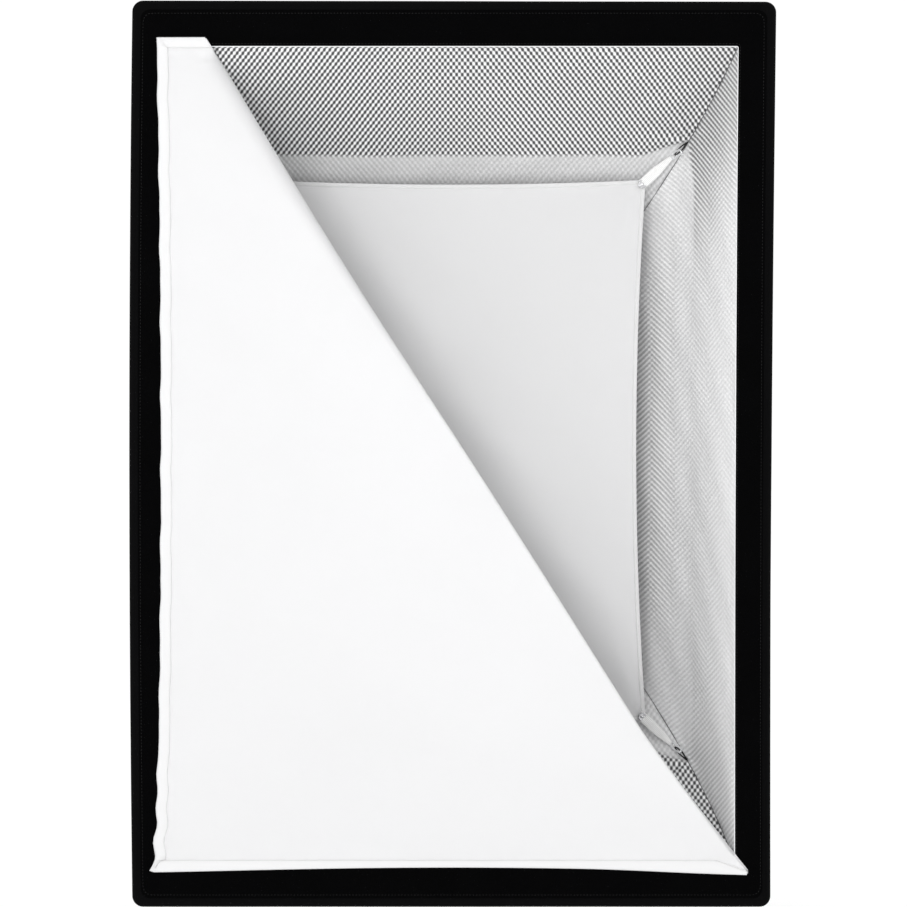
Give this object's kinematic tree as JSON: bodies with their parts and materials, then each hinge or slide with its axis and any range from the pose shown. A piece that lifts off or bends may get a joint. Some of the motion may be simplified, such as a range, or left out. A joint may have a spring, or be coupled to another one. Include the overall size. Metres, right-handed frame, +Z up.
{
  "type": "softbox",
  "caption": "Rectangular softbox with a silver dimpled lining, an inner baffle, a half-peeled front diffuser and a rotating speedring on a bayonet insert.",
  "frame": {"origin": "centre of the rear face of the bayonet spigot, where the softbox meets the light", "axes": "+Z up along the box's long side, -Y along the optical axis out of the front, +X across the short side"},
  "size_m": [0.71, 0.4576, 1],
  "materials": {
    "cast_alloy": "satin machined",
    "black_metal": "black powder coat",
    "steel": "plated",
    "rod_steel": "spring steel",
    "black_plastic": "fine moulded grain",
    "nylon": "smooth",
    "clear_plastic": "frosted",
    "shell_fabric": "black coated nylon, plain weave",
    "loop_tape": "napped loop pile",
    "silver_fabric": "metallised, embossed with small dimples",
    "diffusion_fabric": "white translucent nylon",
    "elastic": "woven elastic"
  },
  "bodies": {
    "light_mount": {"mount_insert": "cast_alloy", "retaining_ring": "steel"},
    "softbox": {"baffle_snap_bottom_left": "steel", "baffle_snap_bottom_right": "steel", "baffle_snap_top_left": "steel", "baffle_snap_top_right": "steel", "baffle_strap_bottom_left": "elastic", "baffle_strap_bottom_right": "elastic", "baffle_strap_top_left": "elastic", "baffle_strap_top_right": "elastic", "corner_pocket_bottom_left": "shell_fabric", "corner_pocket_bottom_right": "shell_fabric", "corner_pocket_top_left": "shell_fabric", "corner_pocket_top_right": "shell_fabric", "front_diffuser": "diffusion_fabric", "inner_baffle": "diffusion_fabric", "lining_panel_bottom": "silver_fabric", "lining_panel_left": "silver_fabric", "lining_panel_right": "silver_fabric", "lining_panel_top": "silver_fabric", "lip_bottom": "shell_fabric", "lip_left": "shell_fabric", "lip_right": "shell_fabric", "lip_top": "shell_fabric", "loop_tape_bottom": "loop_tape", "loop_tape_left": "loop_tape", "loop_tape_right": "loop_tape", "loop_tape_top": "loop_tape", "outer_panel_bottom": "shell_fabric", "outer_panel_left": "shell_fabric", "outer_panel_right": "shell_fabric", "outer_panel_top": "shell_fabric", "rear_collar": "shell_fabric", "rod_bottom_left": "rod_steel", "rod_bottom_right": "rod_steel", "rod_socket_bottom_left": "steel", "rod_socket_bottom_right": "steel", "rod_socket_top_left": "steel", "rod_socket_top_right": "steel", "rod_tip_bottom_left": "black_plastic", "rod_tip_bottom_right": "black_plastic", "rod_tip_top_left": "black_plastic", "rod_tip_top_right": "black_plastic", "rod_top_left": "rod_steel", "rod_top_right": "rod_steel", "socket_screw_bottom_left": "steel", "socket_screw_bottom_right": "steel", "socket_screw_top_left": "steel", "socket_screw_top_right": "steel", "speedring": "black_metal", "strap_anchor_bottom_left": "black_plastic", "strap_anchor_bottom_right": "black_plastic", "strap_anchor_top_left": "black_plastic", "strap_anchor_top_right": "black_plastic", "strap_clip_bottom_left": "clear_plastic", "strap_clip_bottom_right": "clear_plastic", "strap_clip_top_left": "clear_plastic", "strap_clip_top_right": "clear_plastic"},
    "lock_pad": {"lock_pad": "nylon"},
    "lock_knob": {"lock_knob": "black_plastic"}
  },
  "joints": [
    {"name": "box_rotation", "type": "hinge", "parent": "light_mount", "child": "softbox", "pos_m": [0, -0.0233, 0], "axis": [0, 1, 0], "continuous": true},
    {"name": "lock_advance", "type": "slide", "parent": "softbox", "child": "lock_pad", "axis": [0, 0, 1], "range_m": [0, 0.0021]},
    {"name": "lock_turn", "type": "hinge", "parent": "lock_pad", "child": "lock_knob", "pos_m": [0, -0.0233, 0.115], "axis": [0, 0, 1], "range_deg": [0, 720]}
  ],
  "couplings": [
    {"joint": "lock_advance", "follows": "lock_turn", "m_per_rad": 0.00015915}
  ]
}
